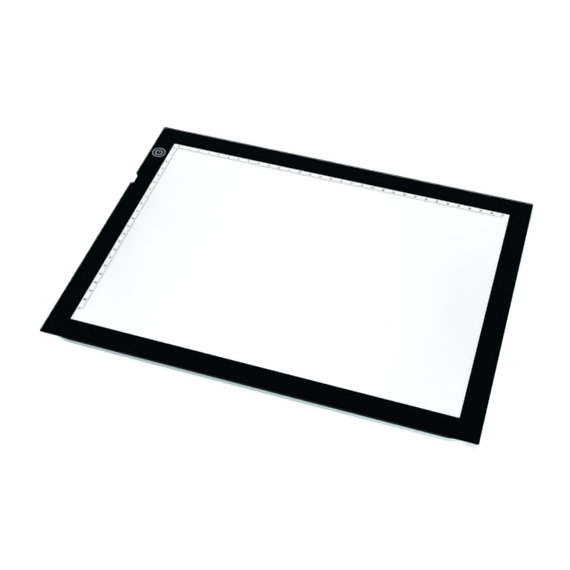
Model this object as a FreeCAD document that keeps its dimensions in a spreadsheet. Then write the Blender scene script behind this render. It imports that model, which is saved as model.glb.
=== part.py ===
import FreeCAD, Part
import math
import os
import Sketcher

# A slim edge-lit tracing pad, lying on its feet.
# Origin: centre of the pad on the resting plane.  +X right, +Y to the far edge, +Z up.  Millimetres.
# From the bottom up: feet, rear tray, reflector, light guide, diffuser, middle frame, tape, ink, sheet.
# The supply socket sits at a notch in the left edge, and the touch spring under the power mark.

DIMENSIONS = {
    # how far an added block sinks into the solid that it joins
    "weld": 0.2,
    # overall
    "pad_width": 358.0,
    "pad_depth": 268.0,
    "pad_height": 8.0,
    # top sheet, its printed border and the window that the border leaves
    "sheet_thickness": 1.0,
    "sheet_corner": 1.5,
    "sheet_chamfer": 0.15,
    "window_width": 321.0,
    "window_depth": 228.4,
    "ink_thickness": 0.08,
    "ink_gap": 0.02,
    # notch in the left edge, where the supply plug goes in
    "notch_from_far": 76.6,
    "notch_mouth": 14.0,
    "notch_floor": 11.0,
    "notch_depth": 3.0,
    "notch_corner": 0.4,
    # power mark printed on the left border
    "mark_from_left": 9.0,
    "mark_from_far": 35.9,
    "mark_diameter": 12.8,
    "mark_stroke": 1.1,
    "mark_arc_diameter": 7.4,
    "mark_arc_gap": 3.2,
    "mark_bar_length": 4.1,
    "mark_bar_rise": 0.3,
    # tape between the sheet and the middle frame
    "tape_thickness": 0.2,
    "tape_margin": 1.0,
    # housing: the middle frame and the rear tray share one outline
    "body_inset": 0.3,
    "body_corner": 25.0,
    "frame_thickness": 1.4,
    "tongue_height": 1.5,
    "tongue_thickness": 1.0,
    "fit_clearance": 0.1,
    "ridge_length": 8.0,
    "ridge_height": 0.6,
    "ridge_reach": 0.35,
    "ridge_pitch": 90.0,
    "ridge_count": 4,
    "catch_play": 0.2,
    "wall_thickness": 1.6,
    "floor_thickness": 1.2,
    "bottom_round": 1.5,
    "rib_thickness": 1.2,
    "rib_gap": 0.1,
    "cross_rib_pitch": 40.0,
    "cross_rib_count": 8,
    "cross_rib_inset": 1.4,
    # feet
    "foot_drop": 0.8,
    "foot_recess": 0.4,
    "foot_diameter": 10.0,
    "foot_clearance": 0.2,
    "foot_round": 0.3,
    "foot_inset": 27.0,
    # optical stack
    "reflector_thickness": 0.2,
    "guide_thickness": 4.0,
    "guide_overlap": 3.0,
    "guide_clearance": 0.4,
    "guide_chamfer": 0.5,
    "diffuser_thickness": 0.5,
    "edge_tape_thickness": 0.1,
    # light source along the far edge of the guide
    "led_count": 42,
    "led_pitch": 7.6,
    "led_length": 3.0,
    "led_depth": 0.8,
    "led_height": 1.4,
    "led_rim": 0.3,
    "led_well": 0.35,
    "led_gap": 0.2,
    "strip_tail": 4.5,
    "strip_end": 3.5,
    "strip_thickness": 1.0,
    "strip_lift": 0.25,
    "strip_height": 3.7,
    "strip_tape_thickness": 0.15,
    "leds_per_resistor": 3,
    "resistor_length": 1.6,
    "resistor_width": 0.8,
    "resistor_depth": 0.45,
    # controller board under the left border, and the heat-formed stakes that hold it
    "board_width": 9.2,
    "board_past_socket": 13.1,
    "board_past_mark": 13.9,
    "board_standoff": 0.6,
    "board_thickness": 0.8,
    "board_corner": 1.0,
    "stake_from_socket": 9.6,
    "stake_from_mark": 8.3,
    "stake_diameter": 1.8,
    "stake_hole": 2.0,
    "stake_seat": 4.0,
    "stake_head": 3.2,
    "stake_head_height": 0.6,
    # supply socket
    "socket_width": 7.5,
    "socket_height": 2.6,
    "socket_length": 5.0,
    "socket_wall": 0.3,
    "socket_chamfer": 0.8,
    "socket_setback": 0.15,
    "port_width": 8.4,
    "port_margin": 0.3,
    "ear_length": 1.0,
    "ear_reach": 0.4,
    "ear_first": 1.6,
    "ear_second": 3.8,
    "blade_width": 3.9,
    "blade_thickness": 0.6,
    "blade_setback": 0.6,
    "block_length": 1.3,
    "block_clearance": 0.05,
    "contact_count": 5,
    "contact_pitch": 0.65,
    "contact_width": 0.3,
    "contact_thickness": 0.12,
    # touch spring
    "spring_diameter": 7.0,
    "spring_wire": 0.5,
    "spring_turns": 4,
    "touch_hole": 10.0,
    # chips on the board
    "chip_from_mark": 14.0,
    "chip_width": 3.9,
    "chip_length": 4.9,
    "chip_height": 1.4,
    "chip_bevel": 0.2,
    "chip_lift": 0.1,
    "transistor_from_mark": 22.0,
    "transistor_width": 1.3,
    "transistor_length": 2.9,
    "transistor_height": 1.0,
    "legs_per_side": 4,
    "leg_pitch": 1.27,
    "leg_spread": 0.95,
    "leg_foot": 0.7,
    "leg_width": 0.4,
    "leg_thickness": 0.15,
    "leg_height": 0.7,
    "passive_length": 2.0,
    "passive_width": 1.25,
    "passive_height": 0.6,
    # leads from the board to the strip
    "lead_diameter": 0.9,
    "lead_on_board": 4.0,
    "lead_on_strip": 1.2,
    "lead_draw_in": 3.0,
    "lead_bay_length": 9.0,
    "lead_bay_height": 0.9,
}

# Levels, as expressions on the sheet.
TRAY_BASE = "dims.foot_drop"
FLOOR_TOP = "(dims.foot_drop + dims.floor_thickness)"
FLOOR_WELD = f"({FLOOR_TOP} - dims.weld)"
SHEET_BASE = "(dims.pad_height - dims.sheet_thickness)"
# A hair is left between ink and sheet, so that their faces stay apart.
INK_TOP = f"({SHEET_BASE} - dims.ink_gap)"
INK_BASE = f"({INK_TOP} - dims.ink_thickness)"
FRAME_TOP = f"({INK_BASE} - dims.tape_thickness)"
FRAME_BASE = f"({FRAME_TOP} - dims.frame_thickness)"
RIB_TOP = f"({FRAME_BASE} - dims.rib_gap)"
GUIDE_BASE = f"({FLOOR_TOP} + dims.reflector_thickness)"
GUIDE_TOP = f"({GUIDE_BASE} + dims.guide_thickness)"
GUIDE_MIDDLE = f"({GUIDE_BASE} + dims.guide_thickness / 2)"
STRIP_BASE = f"({FLOOR_TOP} + dims.strip_lift)"
STRIP_TOP = f"({STRIP_BASE} + dims.strip_height)"
BOARD_BASE = f"({FLOOR_TOP} + dims.board_standoff)"
BOARD_TOP = f"({BOARD_BASE} + dims.board_thickness)"
SOCKET_TOP = f"({BOARD_TOP} + dims.socket_height)"
SOCKET_MIDDLE = f"({BOARD_TOP} + dims.socket_height / 2)"

# Outlines in plan.
BODY_WIDTH = "(dims.pad_width - 2 * dims.body_inset)"
BODY_DEPTH = "(dims.pad_depth - 2 * dims.body_inset)"
CAVITY_WIDTH = f"({BODY_WIDTH} - 2 * dims.wall_thickness)"
CAVITY_DEPTH = f"({BODY_DEPTH} - 2 * dims.wall_thickness)"
CAVITY_CORNER = "(dims.body_corner - dims.wall_thickness)"
GUIDE_WIDTH = "(dims.window_width + 2 * dims.guide_overlap)"
GUIDE_DEPTH = "(dims.window_depth + 2 * dims.guide_overlap)"
GUIDE_RIGHT = f"({GUIDE_WIDTH} / 2)"
GUIDE_FAR = f"({GUIDE_DEPTH} / 2)"
LED_FRONT = f"({GUIDE_FAR} + dims.led_gap)"
STRIP_FRONT = f"({LED_FRONT} + dims.led_depth)"
STRIP_BACK = f"({STRIP_FRONT} + dims.strip_thickness)"
FIRST_LED_X = "(-dims.led_pitch * (dims.led_count - 1) / 2)"
STRIP_LEFT = f"(-{GUIDE_RIGHT} - dims.strip_tail)"
STRIP_RIGHT = f"({GUIDE_RIGHT} - dims.strip_end)"
# The bay that the tray's rib and the frame leave for the guide and its light source.
BAY_RIGHT = f"({GUIDE_RIGHT} + dims.guide_clearance)"
BAY_NEAR = f"(-{GUIDE_FAR} - dims.guide_clearance)"
BAY_FAR = f"({STRIP_BACK} + dims.strip_tape_thickness)"

# Places on the left border.
MARK_X = "(-dims.pad_width / 2 + dims.mark_from_left)"
MARK_Y = "(dims.pad_depth / 2 - dims.mark_from_far)"
NOTCH_Y = "(dims.pad_depth / 2 - dims.notch_from_far)"
NOTCH_FLOOR_X = "(-dims.pad_width / 2 + dims.notch_depth)"
BOARD_LEFT = f"({MARK_X} - dims.board_width / 2)"
BOARD_RIGHT = f"({MARK_X} + dims.board_width / 2)"
BOARD_NEAR = f"({NOTCH_Y} - dims.board_past_socket)"
BOARD_FAR = f"({MARK_Y} + dims.board_past_mark)"
SOCKET_FRONT = f"({NOTCH_FLOOR_X} + dims.socket_setback)"
SOCKET_BACK = f"({SOCKET_FRONT} + dims.socket_length)"
CHIP_Y = f"({MARK_Y} - dims.chip_from_mark)"
TRANSISTOR_Y = f"({MARK_Y} - dims.transistor_from_mark)"

# Middles of the small chip parts, across and along the board from the power mark.
CAPACITOR_PLACES = [(0, -10), (-2.5, -26.5), (2.5, -26.5), (0, 5.6)]
RESISTOR_PLACES = [(-2.6, -18.5), (2.6, -18.5), (0, -28.5)]
# Where each lead starts across the board, and how far above the strip's middle line it ends.
LEAD_PLACES = {"red_lead": (-1.6, 0.6), "black_lead": (1.8, -0.6)}

doc = FreeCAD.newDocument("TracingPad")
parts = []


def make_sheet():
    """One row per driving dimension: the name, then the plain number."""
    sheet = doc.addObject("Spreadsheet::Sheet", "dims")
    for row, (name, number) in enumerate(DIMENSIONS.items(), start=1):
        sheet.set(f"A{row}", name)
        sheet.set(f"B{row}", str(number))
        sheet.setAlias(f"B{row}", name)
    gauge = doc.addObject("App::VarSet", "Gauge")
    gauge.addProperty("App::PropertyFloat", "Reading")
    doc.recompute()


def value(expression):
    """The number that an expression on the sheet stands for."""
    gauge = doc.getObject("Gauge")
    gauge.setExpression("Reading", expression)
    gauge.recompute()
    return gauge.Reading


# ---------------------------------------------------------------- helpers

def bind(thing, expressions):
    for path, expression in expressions.items():
        thing.setExpression(path, expression)


def place(thing, x, y, z):
    bind(thing, {"Placement.Base.x": x, "Placement.Base.y": y, "Placement.Base.z": z})


def span(middle, size):
    """The two limits of a length centred on a place."""
    return (f"({middle}) - ({size}) / 2", f"({middle}) + ({size}) / 2")


def part_body(label):
    """A body of its own for one sub-part; it may hold several separate solids."""
    body = doc.addObject("PartDesign::Body", label.title().replace("_", ""))
    body.Label = label
    body.AllowCompound = True
    parts.append(body)
    return body


def block(body, name, x, y, z, cut=False):
    """A box between two limits on each axis, added to the body or cut from it."""
    box = body.newObject("PartDesign::SubtractiveBox" if cut else "PartDesign::AdditiveBox", name)
    bind(box, {
        "Length": f"({x[1]}) - ({x[0]})",
        "Width": f"({y[1]}) - ({y[0]})",
        "Height": f"({z[1]}) - ({z[0]})",
    })
    place(box, x[0], y[0], z[0])
    return box


def post(body, name, diameter, centre, z, cut=False):
    """An upright cylinder, added to the body or cut from it."""
    kind = "PartDesign::SubtractiveCylinder" if cut else "PartDesign::AdditiveCylinder"
    cylinder = body.newObject(kind, name)
    bind(cylinder, {"Radius": f"({diameter}) / 2", "Height": f"({z[1]}) - ({z[0]})"})
    place(cylinder, centre[0], centre[1], z[0])
    return cylinder


def origin_part(body, role):
    return next(f for f in body.Origin.OriginFeatures if f.Role == role)


def flat_sketch(body, name, level):
    sketch = body.newObject("Sketcher::SketchObject", name)
    sketch.AttachmentSupport = (origin_part(body, "XY_Plane"), [""])
    sketch.MapMode = "FlatFace"
    sketch.setExpression("AttachmentOffset.Base.z", level)
    return sketch


def dimension(sketch, name, expression, *constraint):
    index = sketch.addConstraint(Sketcher.Constraint(*constraint))
    sketch.renameConstraint(index, name)
    sketch.setExpression(f"Constraints.{name}", expression)


def rounded_outline(body, name, width, depth, radius, level):
    """A rectangle with round corners, centred on the origin."""
    sketch = flat_sketch(body, name, level)
    vector = FreeCAD.Vector
    # First guesses: half width, half depth and radius.  The constraints set the real ones.
    w, d, r = 100.0, 80.0, 10.0
    arcs = []
    for cx, cy, start in [(w - r, d - r, 0), (r - w, d - r, 90), (r - w, r - d, 180), (w - r, r - d, 270)]:
        circle = Part.Circle(vector(cx, cy, 0), vector(0, 0, 1), r)
        quarter = Part.ArcOfCircle(circle, math.radians(start), math.radians(start + 90))
        arcs.append(sketch.addGeometry(quarter, False))
    ends = [
        (vector(w - r, d, 0), vector(r - w, d, 0)),
        (vector(-w, d - r, 0), vector(-w, r - d, 0)),
        (vector(r - w, -d, 0), vector(w - r, -d, 0)),
        (vector(w, r - d, 0), vector(w, d - r, 0)),
    ]
    sides = [sketch.addGeometry(Part.LineSegment(a, b), False) for a, b in ends]
    for i in range(4):
        sketch.addConstraint(Sketcher.Constraint("Tangent", arcs[i], 2, sides[i], 1))
        sketch.addConstraint(Sketcher.Constraint("Tangent", sides[i], 2, arcs[(i + 1) % 4], 1))
        sketch.addConstraint(Sketcher.Constraint("Vertical" if i % 2 else "Horizontal", sides[i]))
    for arc in arcs[1:]:
        sketch.addConstraint(Sketcher.Constraint("Equal", arcs[0], arc))
    sketch.addConstraint(Sketcher.Constraint("Symmetric", arcs[0], 3, arcs[2], 3, -1, 1))
    dimension(sketch, "radius", radius, "Radius", arcs[0], r)
    dimension(sketch, "width", width, "DistanceX", sides[1], 1, sides[3], 2, 2 * w)
    dimension(sketch, "depth", depth, "DistanceY", sides[2], 1, sides[0], 2, 2 * d)
    return sketch


def pad(body, sketch, height):
    feature = body.newObject("PartDesign::Pad", sketch.Name + "Pad")
    feature.Profile = sketch
    feature.setExpression("Length", height)
    return feature


def pocket(body, sketch, depth):
    """Cuts down from the sketch."""
    feature = body.newObject("PartDesign::Pocket", sketch.Name + "Pocket")
    feature.Profile = sketch
    feature.setExpression("Length", depth)
    return feature


def dress(body, kind, name, size, wanted):
    """A fillet or chamfer on the edges of the body's last feature that pass the test."""
    doc.recompute()
    base = body.Tip
    names = [f"Edge{i + 1}" for i, edge in enumerate(base.Shape.Edges) if wanted(edge)]
    if not names:
        raise RuntimeError(f"{body.Label}: no edge found for {name}")
    feature = body.newObject(f"PartDesign::{kind}", name)
    feature.Base = (base, names)
    feature.setExpression("Radius" if kind == "Fillet" else "Size", size)
    return feature


def repeat(body, feature, pitch, count):
    """Copies a feature along X."""
    pattern = body.newObject("PartDesign::LinearPattern", feature.Name + "Row")
    pattern.Originals = [feature]
    pattern.Direction = (origin_part(body, "X_Axis"), [""])
    bind(pattern, {"Length": f"({pitch}) * (({count}) - 1)", "Occurrences": count})
    body.Tip = pattern
    return pattern


def is_upright(edge):
    box = edge.BoundBox
    return box.XLength < 1e-6 and box.YLength < 1e-6


def is_level(edge, level):
    box = edge.BoundBox
    return abs(box.ZMin - level) < 1e-6 and abs(box.ZMax - level) < 1e-6


def cut_notch(body, level):
    """The plug notch: a shallow trapezium in the left edge, wider at its mouth, with soft corners."""
    sketch = flat_sketch(body, body.Name + "Notch", level)
    bind(sketch, {
        "AttachmentOffset.Base.x": "-dims.pad_width / 2",
        "AttachmentOffset.Base.y": NOTCH_Y,
    })
    vector = FreeCAD.Vector
    corners = [(-2, 7), (0, 7), (3, 5), (3, -5), (0, -7), (-2, -7)]   # first guess
    lines = []
    for start, end in zip(corners, corners[1:] + corners[:1]):
        segment = Part.LineSegment(vector(*start, 0), vector(*end, 0))
        lines.append(sketch.addGeometry(segment, False))
    for line, following in zip(lines, lines[1:] + lines[:1]):
        sketch.addConstraint(Sketcher.Constraint("Coincident", line, 2, following, 1))
    sketch.addConstraint(Sketcher.Constraint("Horizontal", lines[0]))
    sketch.addConstraint(Sketcher.Constraint("Horizontal", lines[4]))
    sketch.addConstraint(Sketcher.Constraint("Vertical", lines[5]))
    sketch.addConstraint(Sketcher.Constraint("PointOnObject", lines[0], 2, -2))
    sketch.addConstraint(Sketcher.Constraint("Symmetric", lines[1], 1, lines[4], 1, -1))
    sketch.addConstraint(Sketcher.Constraint("Symmetric", lines[2], 1, lines[2], 2, -1))
    dimension(sketch, "depth", "dims.notch_depth", "DistanceX", -1, 1, lines[2], 1, 3)
    dimension(sketch, "floor", "dims.notch_floor", "DistanceY", lines[2], 2, lines[2], 1, 10)
    dimension(sketch, "mouth", "dims.notch_mouth", "DistanceY", lines[4], 1, lines[1], 1, 14)
    dimension(sketch, "reach", "dims.notch_corner", "DistanceX", lines[0], 1, lines[0], 2, 2)
    feature = body.newObject("PartDesign::Pocket", body.Name + "NotchPocket")
    feature.Profile = sketch
    feature.Type = "ThroughAll"
    feature.Midplane = True
    floor_x = value(NOTCH_FLOOR_X)
    notch_y = value(NOTCH_Y)
    reach = value("dims.notch_mouth / 2 + dims.weld")

    def is_notch_corner(edge):
        middle = edge.BoundBox.Center
        return is_upright(edge) and middle.x < floor_x + 0.01 and abs(middle.y - notch_y) < reach

    return dress(body, "Fillet", body.Name + "NotchRound", "dims.notch_corner", is_notch_corner)


# ---------------------------------------------------------------- sheet and print

def top_sheet():
    body = part_body("top_sheet")
    outline = rounded_outline(body, "SheetOutline", "dims.pad_width", "dims.pad_depth",
                              "dims.sheet_corner", SHEET_BASE)
    pad(body, outline, "dims.sheet_thickness")
    cut_notch(body, SHEET_BASE)
    top = value("dims.pad_height")
    dress(body, "Chamfer", "SheetChamfer", "dims.sheet_chamfer", lambda edge: is_level(edge, top))


def power_mark():
    """A ring, an open arc and a bar, printed in the thickness of the border ink."""
    body = part_body("power_mark")
    centre = (MARK_X, MARK_Y)
    ink = (INK_BASE, INK_TOP)
    post(body, "Ring", "dims.mark_diameter", centre, ink)
    post(body, "RingInside", "dims.mark_diameter - 2 * dims.mark_stroke", centre, ink, cut=True)
    post(body, "Arc", "dims.mark_arc_diameter", centre, ink)
    post(body, "ArcInside", "dims.mark_arc_diameter - 2 * dims.mark_stroke", centre, ink, cut=True)
    arc_top = f"({MARK_Y} + dims.mark_arc_diameter / 2)"
    block(body, "ArcGap", span(MARK_X, "dims.mark_arc_gap"), (MARK_Y, arc_top), ink, cut=True)
    bar_top = f"({arc_top} + dims.mark_bar_rise)"
    bar_foot = f"({bar_top} - dims.mark_bar_length)"
    block(body, "Bar", span(MARK_X, "dims.mark_stroke"), (bar_foot, bar_top), ink)
    return body


def border_print(mark):
    """The black border behind the sheet, with the power mark left open in it."""
    ring = part_body("border_ring")
    parts.remove(ring)
    outline = rounded_outline(ring, "BorderOutline", "dims.pad_width - 2 * dims.sheet_chamfer",
                              "dims.pad_depth - 2 * dims.sheet_chamfer", "dims.sheet_corner", INK_BASE)
    pad(ring, outline, "dims.ink_thickness")
    cut_notch(ring, INK_BASE)
    block(ring, "Window", span("0", "dims.window_width"), span("0", "dims.window_depth"),
          (INK_BASE, INK_TOP), cut=True)
    border = doc.addObject("Part::Cut", "BorderPrint")
    border.Label = "border_print"
    border.Base = ring
    border.Tool = mark
    parts.append(border)


def sheet_tape():
    body = part_body("sheet_tape")
    outline = rounded_outline(body, "TapeOutline", f"{BODY_WIDTH} - 2 * dims.tape_margin",
                              f"{BODY_DEPTH} - 2 * dims.tape_margin",
                              "dims.body_corner - dims.tape_margin", FRAME_TOP)
    pad(body, outline, "dims.tape_thickness")
    tape = (FRAME_TOP, INK_BASE)
    inner_right = f"({BAY_RIGHT} + dims.tape_margin)"
    block(body, "TapeWindow", (f"-{inner_right}", inner_right),
          (f"{BAY_NEAR} - dims.tape_margin", f"{BAY_FAR} + dims.tape_margin"), tape, cut=True)
    post(body, "TapeTouchHole", "dims.touch_hole", (MARK_X, MARK_Y), tape, cut=True)
    block(body, "TapeNotch", ("-dims.pad_width / 2", f"{NOTCH_FLOOR_X} + dims.tape_margin"),
          span(NOTCH_Y, "dims.notch_mouth + 2 * dims.tape_margin"), tape, cut=True)


# ---------------------------------------------------------------- housing

def ridge_rows(body, name, reach, length, height, cut=False):
    """Snap ridges on the far and near faces of the tongue, or the catches that take them."""
    face = f"({CAVITY_DEPTH} / 2 - dims.fit_clearance)"
    root = f"({face} - dims.weld)"
    tip = f"({face} + {reach})"
    first = "(-dims.ridge_pitch * (dims.ridge_count - 1) / 2)"
    middle = f"({FRAME_BASE} - dims.tongue_height / 2)"
    for side, limits in (("Far", (root, tip)), ("Near", (f"-{tip}", f"-{root}"))):
        ridge = block(body, name + side, span(first, length), limits, span(middle, height), cut=cut)
        repeat(body, ridge, "dims.ridge_pitch", "dims.ridge_count")


def middle_frame():
    """Black frame under the sheet: a flat flange and a tongue that drops inside the tray wall."""
    body = part_body("middle_frame")
    tongue_base = f"({FRAME_BASE} - dims.tongue_height)"
    flange = rounded_outline(body, "FlangeOutline", BODY_WIDTH, BODY_DEPTH, "dims.body_corner", FRAME_BASE)
    pad(body, flange, "dims.frame_thickness")
    gap = "dims.fit_clearance"
    outside = rounded_outline(body, "TongueOutline", f"{CAVITY_WIDTH} - 2 * {gap}",
                              f"{CAVITY_DEPTH} - 2 * {gap}", f"{CAVITY_CORNER} - {gap}", tongue_base)
    pad(body, outside, "dims.tongue_height")
    step = "(dims.fit_clearance + dims.tongue_thickness)"
    inside = rounded_outline(body, "TongueInside", f"{CAVITY_WIDTH} - 2 * {step}",
                             f"{CAVITY_DEPTH} - 2 * {step}", f"{CAVITY_CORNER} - {step}", FRAME_BASE)
    pocket(body, inside, "dims.tongue_height")
    block(body, "TongueGap", (f"-{CAVITY_WIDTH} / 2", BOARD_LEFT),
          span(NOTCH_Y, "dims.notch_mouth + 3 * dims.rib_thickness"), (tongue_base, FRAME_BASE), cut=True)
    flange_span = (FRAME_BASE, FRAME_TOP)
    block(body, "Bay", (f"-{BAY_RIGHT}", BAY_RIGHT), (BAY_NEAR, BAY_FAR), flange_span, cut=True)
    cut_notch(body, FRAME_BASE)
    post(body, "TouchHole", "dims.touch_hole", (MARK_X, MARK_Y), flange_span, cut=True)
    block(body, "Port", (f"{NOTCH_FLOOR_X} - dims.notch_corner", f"{SOCKET_BACK} + dims.port_margin"),
          span(NOTCH_Y, "dims.port_width"), (FRAME_BASE, f"{SOCKET_TOP} + dims.port_margin"), cut=True)
    block(body, "LeadBay", (BOARD_LEFT, f"-{BAY_RIGHT}"), (f"{BAY_FAR} - dims.lead_bay_length", BAY_FAR),
          (FRAME_BASE, f"{FRAME_BASE} + dims.lead_bay_height"), cut=True)
    ridge_rows(body, "Ridge", "dims.ridge_reach", "dims.ridge_length", "dims.ridge_height")


def foot_places():
    foot_x = f"({BODY_WIDTH} / 2 - dims.foot_inset)"
    foot_y = f"({BODY_DEPTH} / 2 - dims.foot_inset)"
    for column, x in (("Left", f"-{foot_x}"), ("Middle", "0"), ("Right", foot_x)):
        for row, y in (("Far", foot_y), ("Near", f"-{foot_y}")):
            yield column + row, (x, y)


def stake_places():
    yield "Near", (MARK_X, f"{NOTCH_Y} - dims.stake_from_socket")
    yield "Middle", (MARK_X, f"{NOTCH_Y} + dims.stake_from_socket")
    yield "Far", (MARK_X, f"{MARK_Y} + dims.stake_from_mark")


def cross_ribs(body):
    """Short ribs between the outer wall and the long sides of the inner rib."""
    wall = f"({CAVITY_DEPTH} / 2 - dims.cross_rib_inset)"
    first = "(-dims.cross_rib_pitch * (dims.cross_rib_count - 1) / 2)"
    rows = {
        "Far": (f"{BAY_FAR} + dims.rib_thickness - dims.weld", wall),
        "Near": (f"-{wall}", f"{BAY_NEAR} - dims.rib_thickness + dims.weld"),
    }
    height = (FLOOR_WELD, RIB_TOP)
    for name, limits in rows.items():
        rib = block(body, "CrossRib" + name, span(first, "dims.rib_thickness"), limits, height)
        repeat(body, rib, "dims.cross_rib_pitch", "dims.cross_rib_count")


def board_stakes(body):
    """Three seats that carry the board, each with a peg through it and a melted head."""
    for name, centre in stake_places():
        post(body, "Seat" + name, "dims.stake_seat", centre, (FLOOR_WELD, BOARD_BASE))
        post(body, "Peg" + name, "dims.stake_diameter", centre, (BOARD_BASE, BOARD_TOP))
        post(body, "Head" + name, "dims.stake_head", centre,
             (BOARD_TOP, f"{BOARD_TOP} + dims.stake_head_height"))


def rear_tray():
    """Pale tray: floor, outer wall, rib round the light guide, cross ribs, and the seats of the board."""
    body = part_body("rear_tray")
    outline = rounded_outline(body, "TrayOutline", BODY_WIDTH, BODY_DEPTH, "dims.body_corner", TRAY_BASE)
    pad(body, outline, f"{FRAME_BASE} - {TRAY_BASE}")
    bottom = value(TRAY_BASE)
    dress(body, "Fillet", "BottomRound", "dims.bottom_round", lambda edge: is_level(edge, bottom))
    cavity = rounded_outline(body, "CavityOutline", CAVITY_WIDTH, CAVITY_DEPTH, CAVITY_CORNER, FRAME_BASE)
    pocket(body, cavity, f"{FRAME_BASE} - {FLOOR_TOP}")
    rib = "dims.rib_thickness"
    block(body, "NotchWall", (f"-{CAVITY_WIDTH} / 2 - dims.weld", f"{NOTCH_FLOOR_X} + {rib}"),
          span(NOTCH_Y, f"dims.notch_mouth + 2 * {rib}"), (FLOOR_WELD, FRAME_BASE))
    block(body, "RibOutside", (f"-{BAY_RIGHT} - {rib}", f"{BAY_RIGHT} + {rib}"),
          (f"{BAY_NEAR} - {rib}", f"{BAY_FAR} + {rib}"), (FLOOR_WELD, RIB_TOP))
    inside = (FLOOR_TOP, RIB_TOP)
    block(body, "RibInside", (f"-{BAY_RIGHT}", BAY_RIGHT), (BAY_NEAR, BAY_FAR), inside, cut=True)
    cross_ribs(body)
    block(body, "LeadGap", (f"-{BAY_RIGHT} - {rib}", f"-{BAY_RIGHT}"),
          (f"{BAY_FAR} - dims.lead_bay_length", f"{BAY_FAR} + {rib}"), inside, cut=True)
    board_stakes(body)
    for name, centre in foot_places():
        post(body, "Recess" + name, "dims.foot_diameter + 2 * dims.foot_clearance", centre,
             (TRAY_BASE, f"{TRAY_BASE} + dims.foot_recess"), cut=True)
    play = "dims.catch_play"
    ridge_rows(body, "Catch", "dims.ridge_reach + dims.fit_clearance", f"dims.ridge_length + {play}",
               f"dims.ridge_height + {play}", cut=True)
    cut_notch(body, TRAY_BASE)
    block(body, "Port", (f"{NOTCH_FLOOR_X} - dims.notch_corner", f"{NOTCH_FLOOR_X} + {rib} + dims.weld"),
          span(NOTCH_Y, "dims.port_width"), (f"{BOARD_TOP} - dims.port_margin", FRAME_BASE), cut=True)


def rubber_feet():
    body = part_body("rubber_feet")
    for name, centre in foot_places():
        post(body, "Foot" + name, "dims.foot_diameter", centre, ("0", f"{TRAY_BASE} + dims.foot_recess"))
    dress(body, "Fillet", "FootRound", "dims.foot_round", lambda edge: is_level(edge, 0.0))


# ---------------------------------------------------------------- optical stack

def guide_layer(label, y, z):
    """A plate or film with the guide's width and its small corner cuts."""
    body = part_body(label)
    name = body.Name
    block(body, name + "Plate", span("0", GUIDE_WIDTH), y, z)
    dress(body, "Chamfer", name + "Corners", "dims.guide_chamfer", is_upright)


def edge_reflectors():
    """White tape on the three edges of the guide that take no light in."""
    body = part_body("edge_reflectors")
    skin = "dims.edge_tape_thickness"
    clear_of_corners = "4 * dims.guide_chamfer"
    length = span("0", f"{GUIDE_DEPTH} - {clear_of_corners}")
    height = (GUIDE_BASE, GUIDE_TOP)
    block(body, "RightTape", (GUIDE_RIGHT, f"{GUIDE_RIGHT} + {skin}"), length, height)
    block(body, "LeftTape", (f"-{GUIDE_RIGHT} - {skin}", f"-{GUIDE_RIGHT}"), length, height)
    block(body, "NearTape", span("0", f"{GUIDE_WIDTH} - {clear_of_corners}"),
          (f"-{GUIDE_FAR} - {skin}", f"-{GUIDE_FAR}"), height)


# ---------------------------------------------------------------- light source

def led_strip_board():
    body = part_body("led_strip_board")
    block(body, "Strip", (STRIP_LEFT, STRIP_RIGHT), (STRIP_FRONT, STRIP_BACK), (STRIP_BASE, STRIP_TOP))


def led_strip_tape():
    body = part_body("led_strip_tape")
    length = (f"-{GUIDE_RIGHT}", STRIP_RIGHT)
    block(body, "StripTape", length, (STRIP_BACK, BAY_FAR), (STRIP_BASE, STRIP_TOP))


def led_well(body, name, cut=False):
    """The recess in an LED's face, or the fill that it holds."""
    return block(body, name, span(FIRST_LED_X, "dims.led_length - 2 * dims.led_rim"),
                 (LED_FRONT, f"{LED_FRONT} + dims.led_well"),
                 span(GUIDE_MIDDLE, "dims.led_height - 2 * dims.led_rim"), cut=cut)


def led_packages():
    """White side-facing packages; the well in each one looks at the guide's edge."""
    body = part_body("led_packages")
    case = block(body, "Case", span(FIRST_LED_X, "dims.led_length"), (LED_FRONT, STRIP_FRONT),
                 span(GUIDE_MIDDLE, "dims.led_height"))
    repeat(body, case, "dims.led_pitch", "dims.led_count")
    repeat(body, led_well(body, "Well", cut=True), "dims.led_pitch", "dims.led_count")


def led_phosphor():
    """The yellow fill of each well."""
    body = part_body("led_phosphor")
    repeat(body, led_well(body, "Fill"), "dims.led_pitch", "dims.led_count")


def strip_resistors():
    """One resistor for each small group of LEDs, in the space beside the first of them."""
    body = part_body("strip_resistors")
    chip = block(body, "StripResistor", span(f"{FIRST_LED_X} + dims.led_pitch / 2", "dims.resistor_length"),
                 (f"{STRIP_FRONT} - dims.resistor_depth", STRIP_FRONT),
                 span(GUIDE_MIDDLE, "dims.resistor_width"))
    repeat(body, chip, "dims.leds_per_resistor * dims.led_pitch", "dims.led_count / dims.leds_per_resistor")


# ---------------------------------------------------------------- controller board

def controller_board():
    body = part_body("controller_board")
    thickness = (BOARD_BASE, BOARD_TOP)
    block(body, "Board", (BOARD_LEFT, BOARD_RIGHT), (BOARD_NEAR, BOARD_FAR), thickness)
    dress(body, "Fillet", "BoardRound", "dims.board_corner", is_upright)
    for name, centre in stake_places():
        post(body, "StakeHole" + name, "dims.stake_hole", centre, thickness, cut=True)


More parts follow.
